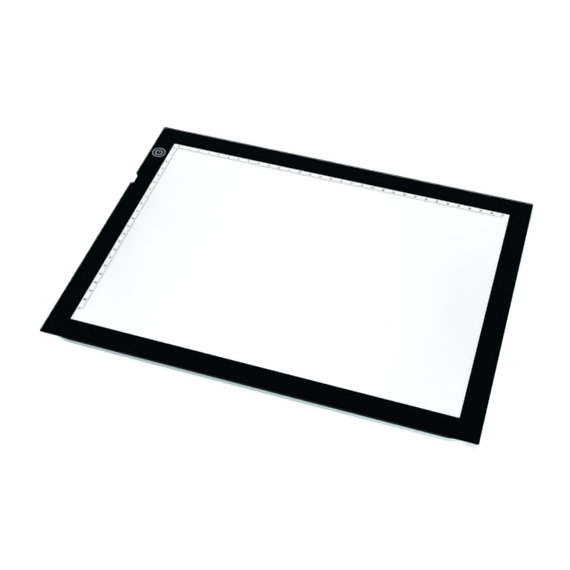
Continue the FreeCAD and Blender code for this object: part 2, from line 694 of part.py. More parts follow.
def socket_shell():
    """Folded metal shell, open at both ends, with two soldered ears on each side."""
    body = part_body("socket_shell")
    block(body, "Shell", (SOCKET_FRONT, SOCKET_BACK), span(NOTCH_Y, "dims.socket_width"),
          (BOARD_TOP, SOCKET_TOP))
    low = value(BOARD_TOP)

    def is_low_long_edge(edge):
        return is_level(edge, low) and edge.BoundBox.YLength < 1e-6

    solid = dress(body, "Chamfer", "ShellChamfer", "dims.socket_chamfer", is_low_long_edge)
    doc.recompute()
    ends = [f"Face{i + 1}" for i, face in enumerate(solid.Shape.Faces) if face.BoundBox.XLength < 1e-6]
    hollow = body.newObject("PartDesign::Thickness", "ShellWall")
    hollow.Base = (solid, ends)
    hollow.Reversed = True
    hollow.setExpression("Value", "dims.socket_wall")
    outward = "dims.socket_width / 2 + dims.ear_reach"
    inward = "dims.socket_width / 2 - dims.socket_chamfer - dims.weld"
    for name, distance in (("First", "dims.ear_first"), ("Second", "dims.ear_second")):
        along = span(f"{SOCKET_FRONT} + {distance}", "dims.ear_length")
        ear = (BOARD_TOP, f"{BOARD_TOP} + dims.socket_wall")
        block(body, name + "EarFar", along, (f"{NOTCH_Y} + {inward}", f"{NOTCH_Y} + {outward}"), ear)
        block(body, name + "EarNear", along, (f"{NOTCH_Y} - ({outward})", f"{NOTCH_Y} - ({inward})"), ear)


def socket_tongue():
    """Plastic blade for the plug, on the block that closes the back of the shell."""
    body = part_body("socket_tongue")
    clear = "2 * (dims.socket_wall + dims.block_clearance)"
    block_front = f"({SOCKET_BACK} - dims.block_length)"
    block(body, "TongueBlock", (block_front, SOCKET_BACK),
          span(NOTCH_Y, f"dims.socket_width - {clear} - 2 * dims.socket_chamfer"),
          span(SOCKET_MIDDLE, f"dims.socket_height - {clear}"))
    block(body, "TongueBlade", (f"{SOCKET_FRONT} + dims.blade_setback", f"{block_front} + dims.weld"),
          span(NOTCH_Y, "dims.blade_width"), span(SOCKET_MIDDLE, "dims.blade_thickness"))


def socket_contacts():
    """Strips side by side under the blade."""
    body = part_body("socket_contacts")
    blade_under = f"({SOCKET_MIDDLE} - dims.blade_thickness / 2)"
    length = (f"{SOCKET_FRONT} + dims.blade_setback + dims.weld", f"{SOCKET_BACK} - dims.block_length")
    for i in range(int(value("dims.contact_count"))):
        offset = f"dims.contact_pitch * ({i} - (dims.contact_count - 1) / 2)"
        block(body, f"Contact{i}", length, span(f"{NOTCH_Y} + {offset}", "dims.contact_width"),
              (f"{blade_under} - dims.contact_thickness", blade_under))


def touch_spring():
    """A coil that stands on the board and presses on the back of the power mark."""
    body = part_body("touch_spring")
    sketch = body.newObject("Sketcher::SketchObject", "WireSection")
    sketch.AttachmentSupport = (origin_part(body, "XZ_Plane"), [""])
    sketch.MapMode = "FlatFace"
    # First guesses: coil radius and wire radius.  The constraints set the real ones.
    circle = Part.Circle(FreeCAD.Vector(3.5, 0, 0), FreeCAD.Vector(0, 0, 1), 0.25)
    wire = sketch.addGeometry(circle, False)
    sketch.addConstraint(Sketcher.Constraint("PointOnObject", wire, 3, -1))
    dimension(sketch, "wire", "dims.spring_wire", "Diameter", wire, 0.5)
    dimension(sketch, "coil", "dims.spring_diameter / 2", "DistanceX", -1, 1, wire, 3, 3.5)
    coil = body.newObject("PartDesign::AdditiveHelix", "Coil")
    coil.Profile = sketch
    coil.ReferenceAxis = (sketch, ["V_Axis"])
    coil.Mode = "height-turns-angle"
    bind(coil, {
        "Height": f"{INK_BASE} - {BOARD_TOP} - dims.spring_wire",
        "Turns": "dims.spring_turns",
    })
    place(body, MARK_X, MARK_Y, f"{BOARD_TOP} + dims.spring_wire / 2")


def packaged_chip(label, kind, middle_y):
    """A moulded case that stands a little off the board."""
    body = part_body(label)
    low = f"({BOARD_TOP} + dims.chip_lift)"
    high = f"({low} + dims.{kind}_height)"
    block(body, body.Name + "Case", span(MARK_X, f"dims.{kind}_width"),
          span(middle_y, f"dims.{kind}_length"), (low, high))
    top = value(high)
    dress(body, "Chamfer", body.Name + "Bevel", "dims.chip_bevel", lambda edge: is_level(edge, top))


def leg(body, name, kind, side, y):
    """A gull-wing leg: a riser against the case and a flat foot on the board."""
    root = f"dims.{kind}_width / 2"
    reach = {"Riser": "dims.leg_thickness", "Foot": "dims.leg_foot"}
    rise = {"Riser": "dims.leg_height", "Foot": "dims.leg_thickness"}
    for piece in ("Riser", "Foot"):
        if side > 0:
            x = (f"{MARK_X} + {root}", f"{MARK_X} + {root} + {reach[piece]}")
        else:
            x = (f"{MARK_X} - {root} - {reach[piece]}", f"{MARK_X} - {root}")
        block(body, name + piece, x, span(y, "dims.leg_width"), (BOARD_TOP, f"{BOARD_TOP} + {rise[piece]}"))


def component_leads():
    """The legs of the touch chip, the same on both sides, and of the transistor, two and one."""
    body = part_body("component_leads")
    for side in (-1, 1):
        for i in range(int(value("dims.legs_per_side"))):
            name = f"Chip{'Right' if side > 0 else 'Left'}{i}"
            offset = f"dims.leg_pitch * ({i} - (dims.legs_per_side - 1) / 2)"
            leg(body, name, "chip", side, f"{CHIP_Y} + {offset}")
    leg(body, "Gate", "transistor", -1, f"{TRANSISTOR_Y} - dims.leg_spread")
    leg(body, "Source", "transistor", -1, f"{TRANSISTOR_Y} + dims.leg_spread")
    leg(body, "Drain", "transistor", 1, TRANSISTOR_Y)


def passives(label, places):
    """Two-ended chip parts, lying across the board."""
    body = part_body(label)
    for i, (across, along) in enumerate(places):
        block(body, f"{body.Name}{i}", span(f"{MARK_X} + {across}", "dims.passive_length"),
              span(f"{MARK_Y} + {along}", "dims.passive_width"),
              (BOARD_TOP, f"{BOARD_TOP} + dims.passive_height"))


def lead(label, across, rise):
    """An insulated lead from the board's far end to a pad on the left end of the strip."""
    radius = value("dims.lead_diameter") / 2
    start = FreeCAD.Vector(value(MARK_X) + across, value(BOARD_FAR) - value("dims.lead_on_board"),
                           value(BOARD_TOP) + radius)
    end_x = value(STRIP_LEFT) + value("dims.lead_on_strip") + across / value("dims.lead_draw_in")
    end = FreeCAD.Vector(end_x, value(STRIP_FRONT), value(GUIDE_MIDDLE) + rise)
    slack = FreeCAD.Vector(0, 0, value("dims.weld"))
    along = FreeCAD.Vector(0, 1, 0)
    curve = Part.BSplineCurve()
    curve.interpolate(Points=[start, (start + end) * 0.5 + slack, end], InitialTangent=along,
                      FinalTangent=along)
    section = Part.Wire([Part.makeCircle(radius, start, along)])
    feature = doc.addObject("Part::Feature", label.title().replace("_", ""))
    feature.Label = label
    feature.Shape = Part.Wire([curve.toShape()]).makePipeShell([section], True, True)
    feature.Placement = FreeCAD.Placement()
    parts.append(feature)


# ---------------------------------------------------------------- build, check, write

def build():
    make_sheet()
    top_sheet()
    border_print(power_mark())
    sheet_tape()
    middle_frame()
    rear_tray()
    rubber_feet()
    whole_guide = span("0", GUIDE_DEPTH)
    guide_layer("light_guide", whole_guide, (GUIDE_BASE, GUIDE_TOP))
    guide_layer("diffuser_film", whole_guide, (GUIDE_TOP, f"{GUIDE_TOP} + dims.diffuser_thickness"))
    # The reflector runs on under the light source, to the back of the strip.
    guide_layer("reflector_film", (f"-{GUIDE_FAR}", STRIP_BACK), (FLOOR_TOP, GUIDE_BASE))
    edge_reflectors()
    led_strip_board()
    led_strip_tape()
    led_packages()
    led_phosphor()
    strip_resistors()
    controller_board()
    socket_shell()
    socket_tongue()
    socket_contacts()
    touch_spring()
    packaged_chip("touch_chip", "chip", CHIP_Y)
    packaged_chip("dimmer_transistor", "transistor", TRANSISTOR_Y)
    component_leads()
    passives("chip_capacitors", CAPACITOR_PLACES)
    passives("chip_resistors", RESISTOR_PLACES)
    for label, (across, rise) in LEAD_PLACES.items():
        lead(label, across, rise)
    doc.recompute()


def check():
    for thing in doc.Objects:
        bad = [state for state in thing.State if state in ("Invalid", "Error")]
        if bad:
            raise RuntimeError(f"{thing.Label}: {bad}")
    for part in parts:
        if part.Shape.isNull() or not part.Shape.isValid() or not part.Shape.Solids:
            raise RuntimeError(f"{part.Label}: the shape is empty or not valid")


def write():
    os.makedirs("parts", exist_ok=True)
    for part in parts:
        part.Shape.exportStep(f"parts/{part.Label}.step")
        print(part.Label, len(part.Shape.Solids), round(part.Shape.Volume, 2))


build()
check()
write()
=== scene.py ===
"""Looks of a slim tracing pad: its materials and printed scales, and the floor, light and camera.

Everything is in metres, in the row frame: +X to the pad's right, +Y to its far edge, +Z up out of the
working face. Only the patterns inside a material have their sizes in millimetres.
"""

import math

import bmesh
import bpy
from mathutils import Matrix, Vector


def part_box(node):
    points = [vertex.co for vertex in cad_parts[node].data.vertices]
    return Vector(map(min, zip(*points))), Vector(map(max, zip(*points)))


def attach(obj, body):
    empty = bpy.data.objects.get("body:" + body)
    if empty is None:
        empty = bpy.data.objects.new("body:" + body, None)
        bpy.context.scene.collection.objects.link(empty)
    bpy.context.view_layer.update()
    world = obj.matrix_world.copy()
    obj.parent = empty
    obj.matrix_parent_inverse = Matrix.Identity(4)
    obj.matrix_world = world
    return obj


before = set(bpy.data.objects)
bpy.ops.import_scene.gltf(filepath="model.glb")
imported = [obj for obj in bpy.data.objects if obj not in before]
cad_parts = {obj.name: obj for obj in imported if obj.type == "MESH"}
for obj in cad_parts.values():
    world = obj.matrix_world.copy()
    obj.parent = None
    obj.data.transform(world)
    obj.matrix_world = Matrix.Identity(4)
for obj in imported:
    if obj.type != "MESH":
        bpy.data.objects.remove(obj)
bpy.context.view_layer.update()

MM = 0.001

# ---------------------------------------------------------------- driving dimensions

# Printed scales. Both start at one point, which lies this far in from the window's far left corner.
ZERO_INSET_X = 5.6 * MM
ZERO_INSET_Y = 5.9 * MM
SCALES = {
    "far_scale": {
        "centimetres": 31,
        "along": Vector((1, 0)),      # the way the scale runs
        "out": Vector((0, 1)),        # the way its ticks and numerals stand
        "tick": 2.2 * MM,             # its shortest tick
        "rise": 3.5 * MM,             # middle of a numeral, out from the foot of the ticks
    },
    "left_scale": {
        "centimetres": 21,
        "along": Vector((0, -1)),
        "out": Vector((-1, 0)),
        "tick": 1.5 * MM,
        "rise": 3.4 * MM,
    },
}
TICK_WIDTH = 0.24 * MM
EXTRA_TICK = {10: 0.5 * MM, 5: 0.25 * MM, 1: 0.0}     # added at every 10, 5 and 1 mm; the first that fits
NUMERAL_SIZE = 2.6 * MM
NUMERAL_BOLDNESS = 0.035              # how far a numeral's outline is widened, as a share of its size
NUMERAL_CURVE_STEPS = 3
PRINT_THICKNESS = 0.03 * MM
PRINT_GAP = 0.02 * MM                 # left between the print and the sheet, as in the CAD model
SAME_POINT = 0.002 * MM               # vertices of the print nearer than this are merged

# Camera, in front of the pad and to the right of its middle, looking down and to the left.
CAMERA_PLACE = Vector((0.1692, -0.5748, 0.6515))
CAMERA_TURN = math.radians(17.63)     # to the left of +Y
CAMERA_DIP = math.radians(48.24)      # below the horizon
CAMERA_LENS = 65.07
CAMERA_SENSOR = 36.0

FLOOR_HALF_WIDTH = 6.0
FLOOR_GLOW = 0.43                     # a lit table, which keeps the shadows pale

# The studio's colour in each direction, by the sine of its height above the horizon: a pale backdrop low
# down, a dark stretch above it, and a soft light overhead, which grows brighter between its two heights.
STUDIO = [
    (0.00, (1.0, 1.0, 1.0)),
    (0.26, (0.9, 0.9, 0.9)),
    (0.45, (0.25, 0.27, 0.28)),
    (0.58, (0.04, 0.08, 0.10)),
    (0.85, (0.04, 0.08, 0.10)),
    (0.90, (1.0, 1.0, 1.0)),
]
OVERHEAD_START = 0.88
OVERHEAD_FULL = 0.95
OVERHEAD_STRENGTH = 2.6
REFLECTED_SHARE = 0.5                 # how much of the studio's light comes back in reflections

# Two soft lights low beside the pad, each with its place, its aim along X and its energy. The right one
# brightens the near side towards its right end, and the left one the housing's rounded near left corner.
LOW_LIGHTS = {
    "right_light": (Vector((0.36, -0.42, 0.035)), 0.12, 2.2),
    "left_light": (Vector((-0.50, -0.17, 0.035)), -0.17, 3.2),
}
LOW_LIGHT_WIDTH = 0.22
LOW_LIGHT_HEIGHT = 0.05
LOW_LIGHT_COLOUR = (1.0, 0.96, 0.95)

ACRYLIC_IOR = 1.49

# Places of the colour sockets on a Mix node.
MIX_FACTOR, MIX_FIRST, MIX_SECOND, MIX_RESULT = 0, 6, 7, 2


# ---------------------------------------------------------------- node building blocks

def opaque(colour):
    """A plain colour with full opacity. A socket stays as it is."""
    return colour if isinstance(colour, bpy.types.NodeSocket) else (*colour, 1.0)


class Nodes:
    """A node tree under construction."""

    def __init__(self, tree):
        self.tree = tree
        self.tree.nodes.clear()

    def add(self, kind, inputs=None, **settings):
        """A node with its settings and inputs; an input is a plain value or the socket that feeds it."""
        node = self.tree.nodes.new(kind)
        for name, setting in settings.items():
            setattr(node, name, setting)
        for name, source in (inputs or {}).items():
            if isinstance(source, bpy.types.NodeSocket):
                self.tree.links.new(source, node.inputs[name])
            else:
                node.inputs[name].default_value = source
        return node

    def math(self, operation, first, second=0.0, third=0.0):
        inputs = {0: first, 1: second, 2: third}
        return self.add("ShaderNodeMath", inputs, operation=operation).outputs[0]

    def spread(self, fac, low, high, start=0.3, end=0.7):
        """Stretches the range from start to end over low to high. Most of a noise lies in 0.3 to 0.7."""
        inputs = {"Value": fac, "From Min": start, "From Max": end, "To Min": low, "To Max": high}
        return self.add("ShaderNodeMapRange", inputs).outputs[0]


class Finish(Nodes):
    """One material under construction. Its patterns lie in the row frame, and have their sizes in
    millimetres."""

    def __init__(self, name):
        self.material = bpy.data.materials.new("finish_" + name)
        self.material.use_nodes = True
        super().__init__(self.material.node_tree)
        self.place = self.add("ShaderNodeTexCoord").outputs["Object"]

    def axes(self):
        """The point's X, Y and Z in millimetres."""
        scaled = self.add("ShaderNodeVectorMath", {0: self.place, 1: (1 / MM,) * 3}, operation="MULTIPLY")
        return self.add("ShaderNodeSeparateXYZ", {0: scaled.outputs[0]}).outputs

    def upward(self):
        """How far the face turns up, from -1 to 1."""
        normal = self.add("ShaderNodeNewGeometry").outputs["Normal"]
        return self.add("ShaderNodeSeparateXYZ", {0: normal}).outputs[2]

    def grain(self, size, detail=2.0, stretch=(1, 1, 1)):
        """Soft noise with lumps of about this size, longer along an axis where stretch is above 1."""
        factors = [1 / (MM * size * s) for s in stretch]
        scaled = self.add("ShaderNodeVectorMath", {0: self.place, 1: factors}, operation="MULTIPLY")
        noise = self.add("ShaderNodeTexNoise", {"Vector": scaled.outputs[0], "Scale": 1.0, "Detail": detail})
        return noise.outputs["Fac"]

    def layered(self, fine, broad, fine_share):
        """Two patterns added up, each with its share."""
        return self.math("MULTIPLY_ADD", fine, fine_share, self.math("MULTIPLY", broad, 1 - fine_share))

    def repeat(self, along, pitch):
        """0 to 1 again and again, once in each pitch."""
        return self.math("FRACT", self.math("DIVIDE", along, pitch))

    def smooth(self, fac, start, end):
        """0 before start and 1 after end, with a soft passage between them."""
        inputs = {"Value": fac, "From Min": start, "From Max": end}
        return self.add("ShaderNodeMapRange", inputs, interpolation_type="SMOOTHSTEP").outputs[0]

    def distance(self, across, along):
        """How far a point lies from the middle, from its two distances along the axes."""
        squares = self.math("MULTIPLY_ADD", across, across, self.math("MULTIPLY", along, along))
        return self.math("SQRT", squares)

    def blend(self, fac, first, second):
        """A mix of two colours."""
        inputs = {MIX_FACTOR: fac, MIX_FIRST: opaque(first), MIX_SECOND: opaque(second)}
        return self.add("ShaderNodeMix", inputs, data_type="RGBA").outputs[MIX_RESULT]

    def tone(self, colour, amount, fac):
        """The colour, lighter and darker by a share of itself as the pattern goes."""
        darker = [c * (1 - amount) for c in colour]
        lighter = [min(1.0, c * (1 + amount)) for c in colour]
        return self.blend(self.spread(fac, 0.0, 1.0), darker, lighter)

    def relief(self, height, depth):
        """A normal for bumps of this depth."""
        return self.add("ShaderNodeBump", {"Height": height, "Distance": depth * MM}).outputs[0]

    def surface(self, inputs):
        return self.add("ShaderNodeBsdfPrincipled", inputs).outputs[0]

    def diffuse(self, colour):
        return self.add("ShaderNodeBsdfDiffuse", {"Color": opaque(colour)}).outputs[0]

    def transparent(self, colour):
        return self.add("ShaderNodeBsdfTransparent", {"Color": opaque(colour)}).outputs[0]

    def mix(self, fac, first, second):
        """A mix of two shaders."""
        return self.add("ShaderNodeMixShader", {0: fac, 1: first, 2: second}).outputs[0]

    def done(self, shader):
        self.add("ShaderNodeOutputMaterial", {"Surface": shader})
        return self.material


def moulded(name, colour, roughness, texture, depth, variation=0.06, extra=None):
    """Moulded plastic or rubber: an eroded texture of this size and depth, and a slow drift of tone and
    gloss."""
    finish = Finish(name)
    fine = finish.grain(texture, detail=3.0)
    both = finish.layered(fine, finish.grain(22.0), fine_share=0.6)
    gloss_drift = 0.05
    inputs = {
        "Base Color": finish.tone(colour, variation, both),
        "Roughness": finish.spread(both, roughness - gloss_drift, roughness + gloss_drift),
        "Normal": finish.relief(fine, depth),
    }
    return finish.done(finish.surface({**inputs, **(extra or {})}))


def metal(name, colour, roughness, stretch):
    """Plated metal with fine rolling marks, longer along an axis where stretch is above 1."""
    finish = Finish(name)
    marks = finish.grain(0.12, stretch=stretch)
    cloud = finish.grain(1.5)
    return finish.done(finish.surface({
        "Base Color": finish.tone(colour, 0.1, cloud),
        "Metallic": 1.0,
        "Roughness": finish.spread(marks, roughness - 0.07, roughness + 0.1),
        "Normal": finish.relief(marks, 0.003),
    }))


def clear_coat_over(finish, below, roughness):
    """The gloss of a clear plastic face over what lies below; light comes back only off the outside."""
    fresnel = finish.add("ShaderNodeFresnel", {"IOR": ACRYLIC_IOR}).outputs[0]
    inside = finish.add("ShaderNodeNewGeometry").outputs["Backfacing"]
    outside = finish.math("SUBTRACT", 1.0, inside)
    gloss = finish.add("ShaderNodeBsdfGlossy", {"Color": (1, 1, 1, 1), "Roughness": roughness}).outputs[0]
    return finish.mix(finish.math("MULTIPLY", fresnel, outside), below, gloss)


# ---------------------------------------------------------------- finishes, one for each material slot

def clear_sheet(name):
    """Polished acrylic: nearly invisible from above, with a faint haze. Its edges and chamfers are matt, and
    show the border's black, because the plastic bends the view through them down to the print."""
    finish = Finish(name)
    polish = finish.spread(finish.grain(9.0, detail=4.0), 0.02, 0.06)
    through = finish.transparent((0.985, 0.993, 0.992))
    rim = finish.diffuse(finish.tone((0.004, 0.007, 0.008), 0.4, finish.grain(0.4, stretch=(4, 4, 1))))
    flat_from = 0.9                # a face that turns up or down by less than this is an edge
    edge = finish.math("LESS_THAN", finish.math("ABSOLUTE", finish.upward()), flat_from)
    return finish.done(finish.mix(edge, clear_coat_over(finish, through, polish), rim))


def screen_weave(finish):
    """The faint weave that the printing screen leaves, over slow clouds."""
    turn_rate = 14.0               # radians in each millimetre, for a thread every 0.45 mm
    x, y, _ = finish.axes()
    waves = [finish.math("SINE", finish.math("MULTIPLY", along, turn_rate)) for along in (x, y)]
    return finish.math("MULTIPLY_ADD", finish.math("MULTIPLY", *waves), 0.08, finish.grain(6.0, detail=3.0))


def printed_ink(finish, colour, weave):
    """Screen print on the back of the sheet, with no gloss of its own."""
    return finish.done(finish.surface({
        "Base Color": colour,
        "Roughness": finish.spread(weave, 0.5, 0.7),
        "Specular IOR Level": 0.0,
    }))


def border_ink(name):
    finish = Finish(name)
    weave = screen_weave(finish)
    return printed_ink(finish, finish.tone((0.0004, 0.0010, 0.0016), 0.12, weave), weave)


def mark_ink(name):
    """Grey print, in which the power symbol is a little brighter than the ring round it."""
    finish = Finish(name)
    weave = screen_weave(finish)
    low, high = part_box("power_mark")
    middle = (low + high) / 2
    ring_start = 0.36 * (high.x - low.x)
    x, y, _ = finish.axes()
    from_middle = finish.distance(finish.math("SUBTRACT", x, middle.x / MM),
                                  finish.math("SUBTRACT", y, middle.y / MM))
    in_ring = finish.math("GREATER_THAN", from_middle, ring_start / MM)
    symbol = finish.tone((0.44, 0.48, 0.49), 0.12, weave)
    ring = finish.tone((0.35, 0.385, 0.395), 0.12, weave)
    return printed_ink(finish, finish.blend(in_ring, symbol, ring), weave)


def black_tape(name):
    return moulded(name, (0.010, 0.010, 0.011), roughness=0.75, texture=0.5, depth=0.02, variation=0.2)


def frame_plastic(name):
    return moulded(name, (0.003, 0.004, 0.005), roughness=0.6, texture=0.3, depth=0.012, variation=0.15,
                   extra={"Specular IOR Level": 0.05})


def tray_plastic(name):
    """Pale plastic that lets a little light in, with a fine eroded texture."""
    finish = Finish(name)
    fine = finish.grain(0.35, detail=3.0)
    both = finish.layered(fine, finish.grain(30.0), fine_share=0.5)
    return finish.done(finish.surface({
        "Base Color": finish.tone((0.26, 0.335, 0.335), 0.04, both),
        "Roughness": finish.spread(both, 0.42, 0.54),
        "Normal": finish.relief(fine, 0.015),
        "Subsurface Weight": 0.15,
        "Subsurface Radius": (2.0, 2.4, 2.4),
        "Subsurface Scale": MM,
    }))


def foot_rubber(name):
    return moulded(name, (0.035, 0.036, 0.037), roughness=0.8, texture=0.4, depth=0.02, variation=0.2)


def guide_acrylic(name):
    """Clear plate with white dots printed underneath, which grow with their distance from the LEDs at the
    far edge."""
    finish = Finish(name)
    pitch = 1.6
    near_radius, far_radius = 0.42, 0.16       # as shares of the pitch, at the plate's near and far edges
    low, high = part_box("light_guide")
    x, y, _ = finish.axes()
    offsets = [finish.math("SUBTRACT", finish.repeat(along, pitch), 0.5) for along in (x, y)]
    radius = finish.spread(y, near_radius, far_radius, low.y / MM, high.y / MM)
    dot = finish.math("LESS_THAN", finish.distance(*offsets), radius)
    underside = finish.math("LESS_THAN", finish.upward(), -0.5)
    body = finish.mix(finish.math("MULTIPLY", dot, underside),
                      finish.transparent((0.95, 0.98, 0.98)), finish.diffuse((0.9, 0.92, 0.92)))
    return finish.done(clear_coat_over(finish, body, finish.spread(finish.grain(5.0), 0.02, 0.08)))


def diffuser(name):
    """Matt white film, lit from behind. The light falls off a little towards the middle of the short
    sides."""
    finish = Finish(name)
    brightness = 0.69
    left_loss, right_loss = 0.11, 0.10
    even_half_width = 60.0         # half the width of the stretch in the middle that has no loss
    loss_middle = -30.0            # where along Y the loss is greatest
    low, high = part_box("diffuser_film")
    loss_reach = 1.26 * high.y / MM
    x, y, _ = finish.axes()
    share = finish.math("DIVIDE", finish.math("SUBTRACT", y, loss_middle), loss_reach)
    bulge = finish.math("SUBTRACT", 1.0, finish.math("MULTIPLY", share, share))
    left = finish.math("MULTIPLY", finish.smooth(x, -even_half_width, low.x / MM), left_loss)
    right = finish.math("MULTIPLY", finish.smooth(x, even_half_width, high.x / MM), right_loss)
    loss = finish.math("MULTIPLY", finish.math("ADD", left, right), finish.math("MAXIMUM", bulge, 0.0))
    cloud = finish.grain(28.0, detail=3.0)
    unevenness = finish.spread(cloud, -0.006, 0.006)
    beads = finish.grain(0.25)
    return finish.done(finish.surface({
        "Base Color": finish.tone((0.60, 0.61, 0.61), 0.02, cloud),
        "Roughness": finish.spread(beads, 0.6, 0.8),
        "Specular IOR Level": 0.2,
        "Normal": finish.relief(beads, 0.004),
        "Emission Color": (0.985, 0.955, 0.95, 1),
        "Emission Strength": finish.math("ADD", finish.math("SUBTRACT", brightness, loss), unevenness),
    }))


def white_film(name):
    """Satin reflector film with tiny voids in it."""
    finish = Finish(name)
    voids = finish.grain(0.3)
    return finish.done(finish.surface({
        "Base Color": finish.tone((0.86, 0.88, 0.88), 0.03, voids),
        "Roughness": finish.spread(voids, 0.3, 0.45),
        "Normal": finish.relief(voids, 0.004),
    }))


def coated_board(name, mask, track, track_pitch):
    """A circuit board: tracks show as a slightly lighter relief under the solder mask. Most of them run
    along Y and wander a little, and a thin one crosses them now and then."""
    finish = Finish(name)
    track_share = 0.4              # of its pitch that a track fills
    most_wander = 3.0
    cross_pitch = 7 * track_pitch
    cross_share = 0.05
    x, y, _ = finish.axes()
    wander = finish.math("MULTIPLY", finish.grain(3.0), most_wander)
    lane = finish.repeat(finish.math("ADD", x, wander), track_pitch)
    on_lane = finish.math("LESS_THAN", lane, track_share)
    on_cross = finish.math("LESS_THAN", finish.repeat(y, cross_pitch), cross_share)
    copper = finish.math("MAXIMUM", on_lane, on_cross)
    weave = finish.grain(0.5, detail=1.0)
    return finish.done(finish.surface({
        "Base Color": finish.blend(copper, finish.tone(mask, 0.1, weave), finish.tone(track, 0.08, weave)),
        "Roughness": finish.spread(weave, 0.28, 0.4),
        "Normal": finish.relief(copper, 0.02),
    }))


def white_board(name):
    return coated_board(name, mask=(0.78, 0.78, 0.75), track=(0.84, 0.84, 0.80), track_pitch=2.4)


def green_board(name):
    return coated_board(name, mask=(0.012, 0.13, 0.045), track=(0.03, 0.24, 0.09), track_pitch=0.9)


def thermal_tape(name):
    return moulded(name, (0.42, 0.44, 0.45), roughness=0.7, texture=0.6, depth=0.02, variation=0.12)


def led_case(name):
    return moulded(name, (0.82, 0.81, 0.78), roughness=0.45, texture=0.2, depth=0.004)


def phosphor(name):
    """Yellow gel with bright grains, which glows while the pad is on."""
    finish = Finish(name)
    grains = finish.grain(0.12, detail=3.0)
    return finish.done(finish.surface({
        "Base Color": finish.tone((0.80, 0.62, 0.12), 0.25, grains),
        "Roughness": finish.spread(grains, 0.15, 0.3),
        "Emission Color": (1.0, 0.97, 0.88, 1),
        "Emission Strength": 0.6,
    }))


def resistor_body(name):
    return moulded(name, (0.02, 0.02, 0.024), roughness=0.3, texture=0.3, depth=0.004, variation=0.3)


def capacitor_body(name):
    """Tan ceramic between two tinned ends. The capacitors lie across the board, in three columns."""
    finish = Finish(name)
    length = 2.0
    end_length = 0.3
    low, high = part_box("chip_capacitors")
    column_pitch = ((high.x - low.x) / MM - length) / 2
    first_middle = low.x / MM + length / 2
    from_first = finish.math("SUBTRACT", finish.axes()[0], first_middle)
    from_middle = finish.math("PINGPONG", from_first, column_pitch / 2)
    end = finish.math("GREATER_THAN", from_middle, length / 2 - end_length)
    speck = finish.grain(0.3)
    ceramic = finish.tone((0.40, 0.26, 0.14), 0.15, speck)
    tin = finish.tone((0.62, 0.62, 0.60), 0.1, speck)
    return finish.done(finish.surface({
        "Base Color": finish.blend(end, ceramic, tin),
        "Metallic": end,
        "Roughness": finish.spread(speck, 0.25, 0.4),
    }))


def socket_steel(name):
    return metal(name, (0.60, 0.60, 0.58), roughness=0.3, stretch=(8, 1, 1))


def socket_plastic(name):
    return moulded(name, (0.02, 0.02, 0.021), roughness=0.45, texture=0.15, depth=0.004, variation=0.2)


def contact_brass(name):
    return metal(name, (0.80, 0.58, 0.22), roughness=0.22, stretch=(6, 1, 1))


def spring_steel(name):
    return metal(name, (0.56, 0.54, 0.48), roughness=0.28, stretch=(3, 3, 1))


def chip_epoxy(name):
    return moulded(name, (0.016, 0.016, 0.018), roughness=0.5, texture=0.12, depth=0.006, variation=0.25)


def tinned_leads(name):
    return metal(name, (0.66, 0.66, 0.64), roughness=0.32, stretch=(4, 1, 1))


def insulation(name, colour):
    """Soft glossy lead covering."""
    return moulded(name, colour, roughness=0.35, texture=0.6, depth=0.004, variation=0.1,
                   extra={"Coat Weight": 0.3, "Coat Roughness": 0.2})


def red_insulation(name):
    return insulation(name, (0.45, 0.015, 0.01))


def black_insulation(name):
    return insulation(name, (0.012, 0.012, 0.012))


FINISHES = {maker.__name__: maker for maker in (
    clear_sheet, border_ink, mark_ink, black_tape, frame_plastic, tray_plastic, foot_rubber,
    guide_acrylic, diffuser, white_film, white_board, green_board, thermal_tape, led_case, phosphor,
    resistor_body, capacitor_body, socket_steel, socket_plastic, contact_brass, spring_steel, chip_epoxy,
    tinned_leads, red_insulation, black_insulation,
)}


def dress_nodes():
    """Gives every CAD node the finish of its material slot, and returns the finishes by slot."""
    finishes = {}
    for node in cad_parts.values():
        for holder in node.material_slots:
            name = holder.material.name
            if name not in finishes:
                finishes[name] = FINISHES[name](name)
            holder.material = finishes[name]
    return finishes


# ---------------------------------------------------------------- printed scales

def window_corner():
    """Half the width and half the depth of the window that the border print leaves. Of the border's points,
    the window's corners are the ones nearest to X = 0."""
    points = [v.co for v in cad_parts["border_print"].data.vertices]
    corner = min(points, key=lambda point: abs(point.x))
    return abs(corner.x), abs(corner.y)


def add_bar(mesh, low, high, base):
    """A thin flat bar between two corners in plan."""
    corners = [(low[0], low[1]), (high[0], low[1]), (high[0], high[1]), (low[0], high[1])]
    bottom = [mesh.verts.new((x, y, base)) for x, y in corners]
    lid = [mesh.verts.new((x, y, base + PRINT_THICKNESS)) for x, y in corners]
    mesh.faces.new(bottom[::-1])
    mesh.faces.new(lid)
    for i in range(4):
        j = (i + 1) % 4
        mesh.faces.new((bottom[i], bottom[j], lid[j], lid[i]))


def add_numeral(mesh, number, middle, base):
    """A small upright number, centred on a place in plan."""
    curve = bpy.data.curves.new("numeral", "FONT")
    curve.body = str(number)
    curve.size = NUMERAL_SIZE
    curve.extrude = PRINT_THICKNESS / 2
    curve.offset = NUMERAL_BOLDNESS * NUMERAL_SIZE
    curve.resolution_u = NUMERAL_CURVE_STEPS
    curve.align_x = "CENTER"
    curve.align_y = "CENTER"
    holder = bpy.data.objects.new("numeral", curve)
    bpy.context.scene.collection.objects.link(holder)
    bpy.context.view_layer.update()
    shape = holder.to_mesh()
    shape.transform(Matrix.Translation((middle.x, middle.y, base + PRINT_THICKNESS / 2)))
    mesh.from_mesh(shape)
    holder.to_mesh_clear()
    bpy.data.objects.remove(holder)
    bpy.data.curves.remove(curve)


def extra_length(millimetre):
    """How much longer than the shortest the tick at this millimetre is."""
    return next(extra for step, extra in EXTRA_TICK.items() if millimetre % step == 0)


